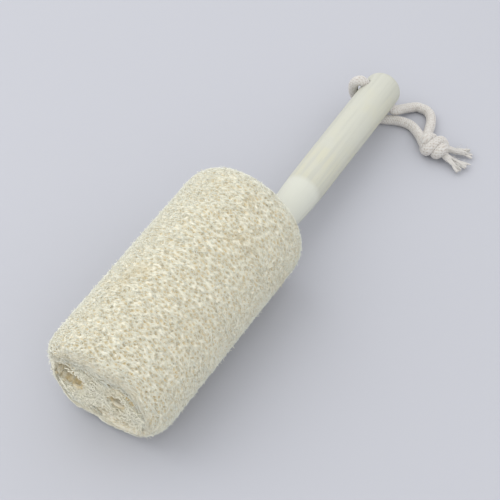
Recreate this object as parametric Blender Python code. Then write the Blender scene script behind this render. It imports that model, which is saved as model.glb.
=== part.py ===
"""Loofah back scrubber: a loofah tube with its inner web, glued on a turned wooden handle
that carries a knotted cotton hanging cord.

Metres, +Z up. +X runs from the loofah's open front end to the handle's butt. The scrubber lies
on the plane z = 0 on the loofah's flattened belly, and the origin is on that plane, under the
middle of loofah and handle.
"""

import math

import bmesh
import bpy
from mathutils import Euler, Matrix, Vector

# ---- driving dimensions -------------------------------------------------------------------
CLEARANCE = 0.0003            # air kept between pieces that touch in the real object

LOOFAH_LENGTH = 0.137
FRONT_WIDTH, FRONT_HEIGHT = 0.0732, 0.0657
REAR_WIDTH, REAR_HEIGHT = 0.0754, 0.0698
BELLY_PRESS = 0.0014          # how far the round belly is pressed flat by its own weight
FRONT_ROUND, FRONT_INSET = 0.011, 0.007      # how far back, and how far in, the front rim rolls
REAR_ROUND, REAR_INSET = 0.013, 0.010
REAR_SLANT = 0.003            # the rear end is cut this much longer on its +Y side
RIM_DEPTH = 0.0045            # how deep the rim rolls into the inside

BORE_HALF_WIDTH, BORE_HALF_HEIGHT = 0.0255, 0.0158   # the inside of the wall
BORE_Y, BORE_Z = 0.001, 0.0275
CORE_RECESS = 0.006           # the web stops this far inside both ends

HANDLE_REACH = 0.1455         # rear face of the loofah to the end of the butt
BUTT_RADIUS, SHOULDER_RADIUS = 0.0115, 0.0109
DOME_LENGTH = 0.0068
SHOULDER_AT = 0.0385          # rear face of the loofah to the shoulder
NECK_RADIUS = 0.0076          # the cone's radius where it enters the loofah
SPIGOT_RADIUS, SPIGOT_LENGTH = 0.0070, 0.046
GLUE_THICKNESS, GLUE_LENGTH = 0.0010, 0.036
HANDLE_Y, HANDLE_Z = -0.0107, 0.0220         # the handle's axis on the loofah's rear face
HANDLE_SWING = math.radians(1.72)            # towards +Y
PROP_GAP = 0.0006             # between the butt and the strand of cord that it lies on
CORD_HOLE_FROM_BUTT = 0.0125
CORD_HOLE_TILT = math.radians(45)            # from straight up, towards +Y
CORD_HOLE_SKEW = math.radians(15)            # its low mouth is this much nearer the butt

CORD_DIAMETER = 0.006
CORD_HOLE_RADIUS = CORD_DIAMETER / 2 + 0.0005
KNOT_PLACE = (-0.0093, -0.0447, 0.0066)      # from the point under the cord hole
KNOT_HALF_LENGTH, KNOT_HALF_WIDTH, KNOT_HALF_HEIGHT = 0.0105, 0.0078, 0.0064
KNOT_TURN = math.radians(-84)                # the knot's long direction, from +X
KNOT_LUMPS = 0.05                            # how far its folds stand proud, as a share

# The cord's route. X and Y are from the point under the cord hole, and Z is the air under the
# cord. Both free strands start on the lift axis, the line along X that the loop swings about,
# and end in the knot. The held stretch joins them: through the hole, round the left side and
# underneath the handle.
UPPER_FREE = [
    (0.0189, -0.0215, 0.0001), (0.0188, -0.0256, 0.0001), (0.0167, -0.0292, 0.0001),
    (0.0131, -0.0318, 0.0001), (0.0089, -0.0336, 0.0002), (0.0045, -0.0349, 0.0005),
    (0.0004, -0.0360, 0.0010),
]
LOWER_FREE = [
    (0.0023, -0.0215, 0.0001), (0.0017, -0.0245, 0.0001), (0.0002, -0.0273, 0.0003),
    (-0.0020, -0.0302, 0.0008), (-0.0050, -0.0338, 0.0016),
]
HELD_UPPER = [
    (0.0181, -0.0186, 0.0001), (0.0154, -0.0160, 0.0004), (0.0121, -0.0138, 0.0011),
    (0.0087, -0.0121, 0.0023), (0.0055, -0.0112, 0.0039),
]
HELD_LOWER = [
    (-0.0040, 0.0107, 0.0251), (-0.0047, 0.0128, 0.0241), (-0.0047, 0.0146, 0.0210),
    (-0.0039, 0.0152, 0.0162), (-0.0030, 0.0144, 0.0110), (-0.0024, 0.0118, 0.0059),
    (-0.0026, 0.0071, 0.0018), (-0.0032, 0.0013, 0.0001), (-0.0030, -0.0034, 0.0001),
    (-0.0020, -0.0074, 0.0001), (-0.0003, -0.0110, 0.0001), (0.0011, -0.0142, 0.0001),
    (0.0019, -0.0176, 0.0001),
]
UPPER_TAIL = [
    (-0.0062, -0.0510, 0.0018), (-0.0040, -0.0560, 0.0010), (-0.0016, -0.0601, 0.0004),
    (0.0008, -0.0656, 0.0002),
]
LOWER_TAIL = [
    (-0.0104, -0.0510, 0.0018), (-0.0128, -0.0565, 0.0010), (-0.0146, -0.0612, 0.0004),
    (-0.0166, -0.0655, 0.0002),
]

# ---- what follows from them ----------------------------------------------------------------
CORD_HOLE_AT = HANDLE_REACH - CORD_HOLE_FROM_BUTT
HANDLE_DROP = math.atan2(HANDLE_Z - BUTT_RADIUS - CORD_DIAMETER - PROP_GAP, CORD_HOLE_AT)
HANDLE_AIM = Euler((0, HANDLE_DROP, HANDLE_SWING)).to_matrix()
HANDLE_ALONG = HANDLE_AIM @ Vector((1, 0, 0))
TOTAL_LENGTH = LOOFAH_LENGTH + HANDLE_REACH * HANDLE_ALONG.x
FRONT_X = -TOTAL_LENGTH / 2
REAR_X = FRONT_X + LOOFAH_LENGTH
HANDLE_ENTRY = Vector((REAR_X, HANDLE_Y, HANDLE_Z))
SOCKET_RADIUS = SPIGOT_RADIUS + GLUE_THICKNESS + 2 * CLEARANCE
HOLE_CENTRE = HANDLE_ENTRY + HANDLE_ALONG * CORD_HOLE_AT
ROUTE_START = Vector((HOLE_CENTRE.x, HOLE_CENTRE.y, 0))
HOLE_TURN = (Matrix.Rotation(-CORD_HOLE_TILT, 3, "X") @ Matrix.Rotation(-CORD_HOLE_SKEW, 3, "Y"))

RING_SIDES = 56
LATHE_STEPS = 40
ROUND_STEPS = 5
CURVE_STEPS = 24
HOLE_STRAIGHT = (-0.0140, -0.0070, 0, 0.0065, 0.0128)    # the cord runs straight in its hole
CUT_OVERRUN = 0.01


def clear_scene():
    for thing in list(bpy.data.objects):
        bpy.data.objects.remove(thing, do_unlink=True)


def material(name, colour, roughness):
    made = bpy.data.materials.new(name)
    made.use_nodes = True
    shader = made.node_tree.nodes["Principled BSDF"]
    shader.inputs["Base Color"].default_value = (*colour, 1)
    shader.inputs["Roughness"].default_value = roughness
    shader.inputs["Metallic"].default_value = 0
    return made


def add_object(name, data, look=None):
    thing = bpy.data.objects.new(name, data)
    bpy.context.collection.objects.link(thing)
    if look:
        data.materials.append(look)
    return thing


def mesh_object(name, bm, look=None, smooth=True):
    mesh = bpy.data.meshes.new(name)
    bmesh.ops.recalc_face_normals(bm, faces=bm.faces)
    bm.to_mesh(mesh)
    bm.free()
    if smooth:
        mesh.shade_smooth()
        mesh.set_sharp_from_angle(angle=math.radians(35))
    return add_object(name, mesh, look)


def as_cutter(thing):
    thing.hide_render = True
    thing.display_type = "WIRE"
    return thing


def cut(thing, cutter):
    step = thing.modifiers.new("cut " + cutter.name, "BOOLEAN")
    step.operation = "DIFFERENCE"
    step.object = cutter


# ---- loofah --------------------------------------------------------------------------------
def ring(x, y, z, half_width, half_height, slant=0.0):
    """One elliptical ring of points across X; slant pushes its +Y side further along X."""
    points = []
    for i in range(RING_SIDES):
        turn = math.tau * i / RING_SIDES
        across = math.cos(turn)
        points.append(Vector((x + slant * across, y + half_width * across,
                              z + half_height * math.sin(turn))))
    return points


def outer_ring(back, inset):
    """The loofah's outside, `back` behind its front end and `inset` within its full section."""
    share = back / LOOFAH_LENGTH
    width = FRONT_WIDTH + (REAR_WIDTH - FRONT_WIDTH) * share
    height = FRONT_HEIGHT + (REAR_HEIGHT - FRONT_HEIGHT) * share
    slant = REAR_SLANT / 2 * share ** 2
    return ring(FRONT_X + back, 0, (height - BELLY_PRESS) / 2, width / 2 - inset,
                (height + BELLY_PRESS) / 2 - inset, slant)


def bore_ring(x, slant=0.0):
    return ring(x, BORE_Y, BORE_Z, BORE_HALF_WIDTH, BORE_HALF_HEIGHT, slant)


def rolled_rim(outside, inside, bulge):
    """Rings that roll from the outside ring in to the bore ring, bowed outwards along X."""
    rings = []
    for i in range(1, ROUND_STEPS):
        share = i / ROUND_STEPS
        bow = bulge * math.sin(math.pi * share)
        rings.append([a.lerp(b, share) + Vector((bow, 0, 0)) for a, b in zip(outside, inside)])
    return rings


def loft(bm, rings):
    """Skin a closed chain of rings: each is joined to the next, and the last to the first."""
    loops = [[bm.verts.new(point) for point in points] for points in rings]
    for one, two in zip(loops, loops[1:] + loops[:1]):
        for i in range(len(one)):
            j = (i + 1) % len(one)
            bm.faces.new((one[i], one[j], two[j], two[i]))


def build_loofah_wall(look):
    front_arc = [math.pi / 2 * i / ROUND_STEPS for i in range(ROUND_STEPS + 1)]
    rings = [outer_ring(FRONT_ROUND * (1 - math.sin(a)), FRONT_INSET * (1 - math.cos(a)))
             for a in reversed(front_arc)]
    straight = LOOFAH_LENGTH - FRONT_ROUND - REAR_ROUND
    rings += [outer_ring(FRONT_ROUND + straight * i / 6, 0) for i in range(1, 6)]
    rings += [outer_ring(LOOFAH_LENGTH - REAR_ROUND * (1 - math.sin(a)),
                         REAR_INSET * (1 - math.cos(a))) for a in front_arc]
    front_bore = bore_ring(FRONT_X + RIM_DEPTH)
    rear_bore = bore_ring(REAR_X - RIM_DEPTH, REAR_SLANT / 2)
    rings += rolled_rim(rings[-1], rear_bore, RIM_DEPTH / 3)
    rings += [rear_bore, front_bore]
    rings += reversed(rolled_rim(rings[0], front_bore, -RIM_DEPTH / 3))
    bm = bmesh.new()
    loft(bm, rings)
    belly = bmesh.ops.bisect_plane(bm, geom=bm.verts[:] + bm.edges[:] + bm.faces[:], dist=1e-7,
                                   plane_co=(0, 0, 0), plane_no=(0, 0, -1), clear_outer=True)
    rim = [e for e in belly["geom_cut"] if isinstance(e, bmesh.types.BMEdge)]
    bmesh.ops.edgeloop_fill(bm, edges=rim)
    return mesh_object("loofah_wall", bm, look)


def prism(name, outline, x_from, x_to):
    """A straight cutter along X whose section is the closed (y, z) outline."""
    bm = bmesh.new()
    base = bm.faces.new([bm.verts.new((x_from, y, z)) for y, z in outline])
    grown = bmesh.ops.extrude_face_region(bm, geom=[base])
    moved = [v for v in grown["geom"] if isinstance(v, bmesh.types.BMVert)]
    bmesh.ops.translate(bm, verts=moved, vec=(x_to - x_from, 0, 0))
    return as_cutter(mesh_object(name, bm, smooth=False))


def oval(y, z, half_width, half_height, sides):
    turns = [math.tau * i / sides for i in range(sides)]
    return [(y + half_width * math.cos(t), z + half_height * math.sin(t)) for t in turns]


def build_loofah_core(look):
    """The web inside the wall: what is left between the three seed channels."""
    def section(x):
        return ring(x, BORE_Y, BORE_Z, BORE_HALF_WIDTH - CLEARANCE, BORE_HALF_HEIGHT - CLEARANCE)
    bm = bmesh.new()
    x_from, x_to = FRONT_X + CORE_RECESS, REAR_X - CORE_RECESS
    ends = [[bm.verts.new(p) for p in section(x)] for x in (x_from, x_to)]
    bm.faces.new(ends[0])
    bm.faces.new(reversed(ends[1]))
    for i in range(RING_SIDES):
        j = (i + 1) % RING_SIDES
        bm.faces.new((ends[0][i], ends[0][j], ends[1][j], ends[1][i]))
    core = mesh_object("loofah_core", bm, look)
    x_from, x_to = FRONT_X - CUT_OVERRUN, REAR_X + CUT_OVERRUN
    left = oval(BORE_Y + 0.0185, BORE_Z + 0.0030, 0.0115, 0.0074, 28)
    right = oval(BORE_Y - 0.0112, BORE_Z + 0.0056, 0.0056, 0.0040, 20)
    under = oval(BORE_Y - 0.0075, BORE_Z - 0.0148, 0.0160, 0.0056, 28)
    for name, outline in (("channel_left", left), ("channel_right", right),
                          ("channel_under", under)):
        cut(core, prism(name, outline, x_from, x_to))
    return core


# ---- handle --------------------------------------------------------------------------------
def lathe(name, profile, look=None):
    """Turn a profile of (along, radius) about X into a closed body."""
    bm = bmesh.new()
    spots = [bm.verts.new((along, 0, radius)) for along, radius in profile]
    edges = [bm.edges.new(pair) for pair in zip(spots, spots[1:])]
    bmesh.ops.spin(bm, geom=spots + edges, cent=(0, 0, 0), axis=(1, 0, 0), angle=math.tau,
                   steps=LATHE_STEPS, use_merge=True, use_duplicate=False)
    bmesh.ops.remove_doubles(bm, verts=bm.verts, dist=1e-6)
    return mesh_object(name, bm, look)


def aim_like_handle(thing):
    thing.location = HANDLE_ENTRY
    thing.rotation_euler = Euler((0, HANDLE_DROP, HANDLE_SWING))
    return thing


def build_handle(look):
    edge = 0.0008
    dome_at = HANDLE_REACH - DOME_LENGTH
    profile = [(-SPIGOT_LENGTH, 0), (-SPIGOT_LENGTH, SPIGOT_RADIUS - edge),
               (-SPIGOT_LENGTH + edge, SPIGOT_RADIUS), (0, SPIGOT_RADIUS), (0, NECK_RADIUS),
               (SHOULDER_AT - edge, SHOULDER_RADIUS - 2 * edge / 5),
               (SHOULDER_AT, SHOULDER_RADIUS)]
    for i in range(1, 6):
        share = i / 5
        swell = SHOULDER_RADIUS + (BUTT_RADIUS - SHOULDER_RADIUS) * math.sin(math.pi / 2 * share)
        profile.append((SHOULDER_AT + (dome_at - SHOULDER_AT) * share, swell))
    for i in range(1, 7):
        turn = math.pi / 2 * i / 6
        radius = BUTT_RADIUS * math.cos(turn) ** 0.72
        profile.append((dome_at + DOME_LENGTH * math.sin(turn), radius if i < 6 else 0))
    handle = aim_like_handle(lathe("handle", profile, look))
    bm = bmesh.new()
    place = Matrix.Translation((CORD_HOLE_AT, 0, 0)) @ HOLE_TURN.to_4x4()
    bmesh.ops.create_cone(bm, cap_ends=True, segments=24, radius1=CORD_HOLE_RADIUS,
                          radius2=CORD_HOLE_RADIUS, depth=4 * BUTT_RADIUS, matrix=place)
    cut(handle, aim_like_handle(as_cutter(mesh_object("cord_hole", bm))))
    return handle


def build_glue(look):
    inner, outer = SPIGOT_RADIUS + CLEARANCE, SPIGOT_RADIUS + CLEARANCE + GLUE_THICKNESS
    start = -SPIGOT_LENGTH + 0.002
    end = start + GLUE_LENGTH
    corners = [(start, inner), (start, outer), (end, outer), (end, inner), (start, inner)]
    return aim_like_handle(lathe("glue_sleeve", corners, look))


def build_socket_cutter():
    deep = -SPIGOT_LENGTH - 0.001
    profile = [(deep, 0), (deep, SOCKET_RADIUS), (CUT_OVERRUN, SOCKET_RADIUS), (CUT_OVERRUN, 0)]
    return aim_like_handle(as_cutter(lathe("handle_socket", profile)))


# ---- cord ----------------------------------------------------------------------------------
def smooth_curve(route):
    """Close-set points on a Catmull-Rom curve through the route."""
    ends = [2 * route[0] - route[1]] + route + [2 * route[-1] - route[-2]]
    fine = []
    for a, b, c, d in zip(ends, ends[1:], ends[2:], ends[3:]):
        for i in range(CURVE_STEPS):
            t = i / CURVE_STEPS
            fine.append(0.5 * (2 * b + (c - a) * t + (2 * a - 5 * b + 4 * c - d) * t ** 2
                               + (3 * b - a - 3 * c + d) * t ** 3))
    return fine + [route[-1]]


def evenly(fine, spacing):
    """The same line with its points about `spacing` apart."""
    walked = [0.0]
    for one, two in zip(fine, fine[1:]):
        walked.append(walked[-1] + (two - one).length)
    count = max(3, round(walked[-1] / spacing))
    points, at = [], 0
    for i in range(count + 1):
        goal = walked[-1] * i / count
        while at < len(fine) - 2 and walked[at + 1] < goal:
            at += 1
        span = walked[at + 1] - walked[at] or 1.0
        points.append(fine[at].lerp(fine[at + 1], (goal - walked[at]) / span))
    return points


def clear_of_knot(point, along):
    """Whether a flat cord end at `point`, square to `along`, stands off the knot."""
    side = along.orthogonal().normalized() * (CORD_DIAMETER / 2)
    to_knot = Matrix.Rotation(-KNOT_TURN, 3, "Z")
    halves = (KNOT_HALF_LENGTH, KNOT_HALF_WIDTH, KNOT_HALF_HEIGHT)
    for i in range(12):
        rim = point + Matrix.Rotation(math.tau * i / 12, 3, along) @ side
        local = to_knot @ (rim - ROUTE_START - Vector(KNOT_PLACE))
        reach = [part / (half * (1 + KNOT_LUMPS) + CLEARANCE)
                 for part, half in zip(local, halves)]
        if sum(part * part for part in reach) < 1:
            return False
    return True


def stop_at_knot(fine):
    """Cut a close-set chain back from its last point until its end stands off the knot."""
    while not clear_of_knot(fine[-1], (fine[-1] - fine[-2]).normalized()):
        fine = fine[:-1]
    return fine


def trimmed(points, start, end):
    """Drop `start` and `end` metres of length from the two ends of a chain of points."""
    for amount, backwards in ((start, False), (end, True)):
        chain = points[::-1] if backwards else points
        while amount > 0 and (chain[1] - chain[0]).length <= amount:
            amount -= (chain[1] - chain[0]).length
            chain = chain[1:]
        chain = [chain[0] + (chain[1] - chain[0]).normalized() * amount] + chain[1:]
        points = chain[::-1] if backwards else chain
    return points


def tube(name, points, look, radii=None):
    curve = bpy.data.curves.new(name, "CURVE")
    curve.dimensions = "3D"
    curve.bevel_depth = CORD_DIAMETER / 2
    curve.bevel_resolution = 3
    curve.resolution_u = 1
    curve.render_resolution_u = 0
    curve.use_fill_caps = True
    spline = curve.splines.new("POLY")
    spline.points.add(len(points) - 1)
    for i, point in enumerate(points):
        spline.points[i].co = (*point, 1)
        spline.points[i].radius = radii[i] if radii else 1.0
    return add_object(name, curve, look)


def placed(route):
    lifted = ROUTE_START + Vector((0, 0, CORD_DIAMETER / 2))
    return [lifted + Vector(point) for point in route]


def hole_centre(out):
    """A point on the cord hole's axis, `out` from the handle's axis towards its +Y mouth."""
    return HOLE_CENTRE + HANDLE_AIM @ HOLE_TURN @ Vector((0, 0, out))


def with_round_end(points, radii):
    """Close the chain's first end with a half ball about its first point."""
    along = (points[1] - points[0]).normalized()
    turns = [math.radians(angle) for angle in (8, 30, 54, 76)]
    ball = [points[0] - along * (CORD_DIAMETER / 2 * math.cos(turn)) for turn in turns]
    return ball + points, [math.sin(turn) for turn in turns] + radii


def build_held_cord(look):
    """The stretch that the handle holds: out of the table, through the hole, round and under."""
    route = placed(UPPER_FREE[:1] + HELD_UPPER)
    route += [hole_centre(out) for out in HOLE_STRAIGHT]
    route += placed(HELD_LOWER + LOWER_FREE[:1])
    back_off = CORD_DIAMETER + CLEARANCE
    points = trimmed(evenly(smooth_curve(route), CORD_DIAMETER * 0.55), back_off, back_off)
    points, radii = with_round_end(points, [1.0] * len(points))
    points, radii = with_round_end(points[::-1], radii[::-1])
    return tube("cord_through_handle", points, look, radii)


def build_free_strand(name, route, look, hinge):
    """A strand from the lift axis to the knot; its first end is a half ball on the axis."""
    points = evenly(stop_at_knot(smooth_curve(placed(route))), CORD_DIAMETER * 0.7)
    points, radii = with_round_end(points, [1.0] * len(points))
    strand = tube(name, [p - hinge.location for p in points], look, radii)
    strand.parent = hinge
    return strand


def build_knot(look, hinge):
    """The overhand knot's outer shape: a lumpy egg lying on the table."""
    bm = bmesh.new()
    bmesh.ops.create_uvsphere(bm, u_segments=28, v_segments=16, radius=1)
    for v in bm.verts:
        turn = math.atan2(v.co.y, v.co.x)
        lumps = 1 + KNOT_LUMPS * math.cos(3 * turn + 1.0) * math.cos(2 * math.asin(v.co.z))
        v.co = Vector((v.co.x * KNOT_HALF_LENGTH * lumps, v.co.y * KNOT_HALF_WIDTH * lumps,
                       v.co.z * KNOT_HALF_HEIGHT))
    knot = mesh_object("cord_knot", bm, look)
    knot.rotation_euler = Euler((0, 0, KNOT_TURN))
    knot.location = ROUTE_START + Vector(KNOT_PLACE) - hinge.location
    knot.parent = hinge
    return knot


def build_tail(name, route, look, hinge):
    points = evenly(stop_at_knot(smooth_curve(placed(route))[::-1])[::-1], CORD_DIAMETER * 0.5)
    radii = [1.0 - 0.12 * i / (len(points) - 1) for i in range(len(points))]
    tail = tube(name, [p - hinge.location for p in points], look, radii)
    tail.parent = hinge
    return tail


def main():
    clear_scene()
    fibre = material("loofah fibre", (0.76, 0.71, 0.56), 0.9)
    web = material("loofah web", (0.68, 0.58, 0.40), 0.9)
    wood = material("pale turned wood", (0.74, 0.72, 0.62), 0.6)
    resin = material("clear glue", (0.70, 0.62, 0.42), 0.3)
    cotton = material("cotton cord", (0.76, 0.74, 0.68), 0.95)

    wall = build_loofah_wall(fibre)
    core = build_loofah_core(web)
    build_handle(wood)
    build_glue(resin)
    socket = build_socket_cutter()
    cut(wall, socket)
    cut(core, socket)

    hinge = add_object("loop_lift_axis", None)
    hinge.location = placed(UPPER_FREE)[0]
    build_held_cord(cotton)
    build_free_strand("cord_strand_upper", UPPER_FREE, cotton, hinge)
    build_free_strand("cord_strand_lower", LOWER_FREE, cotton, hinge)
    build_knot(cotton, hinge)
    build_tail("cord_tail_upper", UPPER_TAIL, cotton, hinge)
    build_tail("cord_tail_lower", LOWER_TAIL, cotton, hinge)


main()
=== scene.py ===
"""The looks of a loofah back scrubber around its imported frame: a fibrous loofah tube on a turned
wooden handle, with a knotted and frayed cotton hanging cord.

Metres, +Z up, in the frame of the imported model: +X runs from the loofah's open front end to the
handle's butt, and the scrubber lies on the plane z = 0.
"""

import math

import bpy
import numpy as np
from bpy.props import FloatProperty, FloatVectorProperty, IntProperty, PointerProperty
from mathutils import Euler, Matrix, Vector, noise


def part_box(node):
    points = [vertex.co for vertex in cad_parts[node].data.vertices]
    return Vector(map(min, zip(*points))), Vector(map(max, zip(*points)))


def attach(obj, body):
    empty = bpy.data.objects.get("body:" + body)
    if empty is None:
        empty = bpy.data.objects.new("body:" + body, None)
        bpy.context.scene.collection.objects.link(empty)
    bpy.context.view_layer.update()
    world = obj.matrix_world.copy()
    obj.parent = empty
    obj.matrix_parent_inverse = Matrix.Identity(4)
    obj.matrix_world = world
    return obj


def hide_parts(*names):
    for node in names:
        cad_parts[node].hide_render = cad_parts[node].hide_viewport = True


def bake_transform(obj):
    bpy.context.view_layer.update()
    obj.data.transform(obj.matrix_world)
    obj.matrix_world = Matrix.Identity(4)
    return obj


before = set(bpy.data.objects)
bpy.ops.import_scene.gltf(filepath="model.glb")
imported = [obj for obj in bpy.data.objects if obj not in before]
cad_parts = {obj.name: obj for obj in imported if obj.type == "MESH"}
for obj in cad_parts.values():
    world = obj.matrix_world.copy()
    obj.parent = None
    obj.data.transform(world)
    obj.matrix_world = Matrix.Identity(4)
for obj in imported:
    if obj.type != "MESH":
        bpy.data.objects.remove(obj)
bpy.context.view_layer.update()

bl_info = {
    "name": "Loofah back scrubber",
    "version": (1, 0, 0),
    "blender": (4, 5, 0),
    "location": "3D View > Sidebar > Scrubber",
    "description": "Builds a loofah back scrubber piece by piece around its frame",
    "category": "Object",
}

# ---- sizes shared with the frame -------------------------------------------------------------
LOOFAH_LENGTH = 0.137
FRONT_WIDTH, FRONT_HEIGHT = 0.0732, 0.0657
REAR_WIDTH, REAR_HEIGHT = 0.0754, 0.0698
BELLY_PRESS = 0.0014
FRONT_ROUND, FRONT_INSET = 0.011, 0.007
REAR_ROUND, REAR_INSET = 0.013, 0.010
REAR_SLANT = 0.003
RIM_DEPTH = 0.0045
FRONT_RIM_DEPTH = 0.0024      # the worn front rim is fuller
BORE_HALF_WIDTH, BORE_HALF_HEIGHT = 0.0255, 0.0158
BORE_Y, BORE_Z = 0.001, 0.0275
CORE_RECESS = 0.006
MOUTH_FLARE = 0.0013          # how much wider the bore is at its worn front edge
CHANNELS = (                  # y and z of the middle, half width and half height
    (BORE_Y + 0.0206, BORE_Z + 0.0040, 0.0122, 0.0080),
    (BORE_Y - 0.0112, BORE_Z + 0.0056, 0.0056, 0.0040),
    (BORE_Y - 0.0090, BORE_Z - 0.0140, 0.0165, 0.0056),
)
FRONT_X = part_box("loofah_wall")[0].x
REAR_X = FRONT_X + LOOFAH_LENGTH

HANDLE_REACH = 0.1455
BUTT_RADIUS, SHOULDER_RADIUS, NECK_RADIUS = 0.0115, 0.0109, 0.0076
SPIGOT_RADIUS, SPIGOT_LENGTH = 0.0070, 0.046
DOME_LENGTH, SHOULDER_AT = 0.0068, 0.0385
CORD_HOLE_AT = HANDLE_REACH - 0.0125
CORD_HOLE_RADIUS = 0.0035
PROP_GAP = 0.0006
CORD_DIAMETER = 0.006
HANDLE_ENTRY = Vector((REAR_X, -0.0107, 0.0220))
HANDLE_DROP = math.atan2(HANDLE_ENTRY.z - BUTT_RADIUS - CORD_DIAMETER - PROP_GAP, CORD_HOLE_AT)
HANDLE_TURN = Euler((0, HANDLE_DROP, math.radians(1.72)))
HOLE_TURN = Matrix.Rotation(math.radians(-45), 3, "X") @ Matrix.Rotation(math.radians(-15), 3, "Y")
HOLE_CENTRE = HANDLE_ENTRY + HANDLE_TURN.to_matrix() @ Vector((CORD_HOLE_AT, 0, 0))
ROUTE_START = Vector((HOLE_CENTRE.x, HOLE_CENTRE.y, 0))
KNOT_CENTRE = ROUTE_START + Vector((-0.0093, -0.0447, 0.0066))
KNOT_TURN = math.radians(-84)

# The cord's route: X and Y from the point under the cord hole, and Z is the air under the cord.
UPPER_FREE = [
    (0.0189, -0.0215, 0.0001), (0.0188, -0.0256, 0.0001), (0.0167, -0.0292, 0.0001),
    (0.0131, -0.0318, 0.0001), (0.0089, -0.0336, 0.0002), (0.0045, -0.0349, 0.0005),
    (0.0004, -0.0360, 0.0010),
]
LOWER_FREE = [
    (0.0023, -0.0215, 0.0001), (0.0017, -0.0245, 0.0001), (0.0002, -0.0273, 0.0003),
    (-0.0020, -0.0302, 0.0008), (-0.0050, -0.0338, 0.0016),
]
HELD_UPPER = [
    (0.0181, -0.0186, 0.0001), (0.0154, -0.0160, 0.0004), (0.0121, -0.0138, 0.0011),
    (0.0087, -0.0121, 0.0023), (0.0055, -0.0112, 0.0039),
]
HELD_LOWER = [
    (-0.0040, 0.0107, 0.0251), (-0.0047, 0.0128, 0.0241), (-0.0047, 0.0146, 0.0210),
    (-0.0039, 0.0152, 0.0162), (-0.0030, 0.0144, 0.0110), (-0.0024, 0.0118, 0.0059),
    (-0.0026, 0.0071, 0.0018), (-0.0032, 0.0013, 0.0001), (-0.0030, -0.0034, 0.0001),
    (-0.0020, -0.0074, 0.0001), (-0.0003, -0.0110, 0.0001), (0.0011, -0.0142, 0.0001),
    (0.0019, -0.0176, 0.0001),
]
UPPER_TAIL = [
    (-0.0062, -0.0510, 0.0018), (-0.0040, -0.0560, 0.0010), (-0.0016, -0.0601, 0.0004),
    (0.0010, -0.0672, 0.0002),
]
LOWER_TAIL = [
    (-0.0104, -0.0510, 0.0018), (-0.0128, -0.0565, 0.0010), (-0.0146, -0.0612, 0.0004),
    (-0.0168, -0.0668, 0.0002),
]
HOLE_MOUTH = 0.0128           # from the handle's axis to where the cord may start to bend

FLAT_UNDER = 0.0012           # how far the loofah is pressed flat by its own weight
WORN_REACH = 0.007            # how far back from the front rim the wear goes
WORN_ALONG, WORN_AROUND = 0.0007, 0.0004   # how far it moves the rim in and out, and sideways

FIBRE_SIDES = 3
FIBRE_FLOOR, CORD_FLOOR = 0.00015, 0.0001  # no fibre and no cord comes nearer to the ground
WEB_FIBRE_LONG = 0.007
EVEN_STEPS = (0.7548776662, 0.5698402910)  # steps that spread places evenly without repeating
ROPE_SIDES, ROPE_YARNS, ROPE_FUZZ = 28, 8, 0.0001
YARN_SIDES, YARN_STEP = 9, 0.0006
CAMERA_PLACE, CAMERA_LENS = (-0.3556, -0.2243, 0.5158), 84.2
CAMERA_TILT, CAMERA_SWING = math.radians(39), -1.00025


# ---- settings --------------------------------------------------------------------------------
class LoofahSettings(bpy.types.PropertyGroup):
    """The loofah's fibres and colours."""

    seed: IntProperty(name="Seed", description="Start of the fibres' random numbers", default=7)
    fibre_radius: FloatProperty(
        name="Fibre radius", description="Half the thickness of a fibre of the skin",
        default=0.00015, min=0.00005, max=0.001, precision=5, unit="LENGTH")
    layer_count: IntProperty(
        name="Fibres in a layer", description="Fibres in each of the skin's layers",
        default=4100, min=1)
    pale: FloatVectorProperty(
        name="Pale fibre", description="Colour of the bleached outer fibres",
        default=(0.87, 0.885, 0.80), size=3, min=0, max=1, subtype="COLOR")
    tan: FloatVectorProperty(
        name="Tan flesh", description="Colour down in the pits",
        default=(0.66, 0.50, 0.22), size=3, min=0, max=1, subtype="COLOR")


class HandleSettings(bpy.types.PropertyGroup):
    """The handle's wood."""

    wood: FloatVectorProperty(
        name="Wood", description="Colour of the sanded wood",
        default=(0.545, 0.55, 0.48), size=3, min=0, max=1, subtype="COLOR")
    neck: FloatVectorProperty(
        name="Neck", description="Colour of the freshly cut cone at the loofah",
        default=(0.60, 0.61, 0.54), size=3, min=0, max=1, subtype="COLOR")
    sides: IntProperty(name="Sides", description="Faces round the handle", default=96, min=16)


class CordSettings(bpy.types.PropertyGroup):
    """The cotton hanging cord."""

    strand: FloatProperty(
        name="Cord thickness", description="Diameter of the soft cotton cord",
        default=CORD_DIAMETER, min=0.003, max=0.008, precision=4, unit="LENGTH")
    cotton: FloatVectorProperty(
        name="Cotton", description="Colour of the undyed cotton",
        default=(0.67, 0.66, 0.63), size=3, min=0, max=1, subtype="COLOR")
    yarns: IntProperty(name="Yarns", description="Yarns in each frayed tail", default=16, min=3)


class StageSettings(bpy.types.PropertyGroup):
    """Floor and light."""

    floor: FloatVectorProperty(
        name="Floor", description="Colour of the plain floor",
        default=(0.48, 0.49, 0.53), size=3, min=0, max=1, subtype="COLOR")
    key: FloatProperty(
        name="Key light", description="Power of the large soft light", default=2.1, min=0,
        unit="POWER")
    sky: FloatProperty(
        name="Room light", description="Strength of the light from all round", default=1.12, min=0)


# ---- small helpers ---------------------------------------------------------------------------
def pick_none():
    """Object mode with nothing selected."""
    if bpy.context.mode != "OBJECT":
        bpy.ops.object.mode_set(mode="OBJECT")
    bpy.ops.object.select_all(action="DESELECT")


def pick(piece):
    pick_none()
    piece.select_set(True)
    bpy.context.view_layer.objects.active = piece


def settle(piece):
    """Put a piece's place into its mesh."""
    pick(piece)
    bpy.ops.object.transform_apply(location=True, rotation=True, scale=True)


def apply_modifier(piece, kind, **values):
    pick(piece)
    step = piece.modifiers.new(kind.lower(), kind)
    for key, value in values.items():
        setattr(step, key, value)
    bpy.ops.object.modifier_apply(modifier=step.name)


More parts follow.
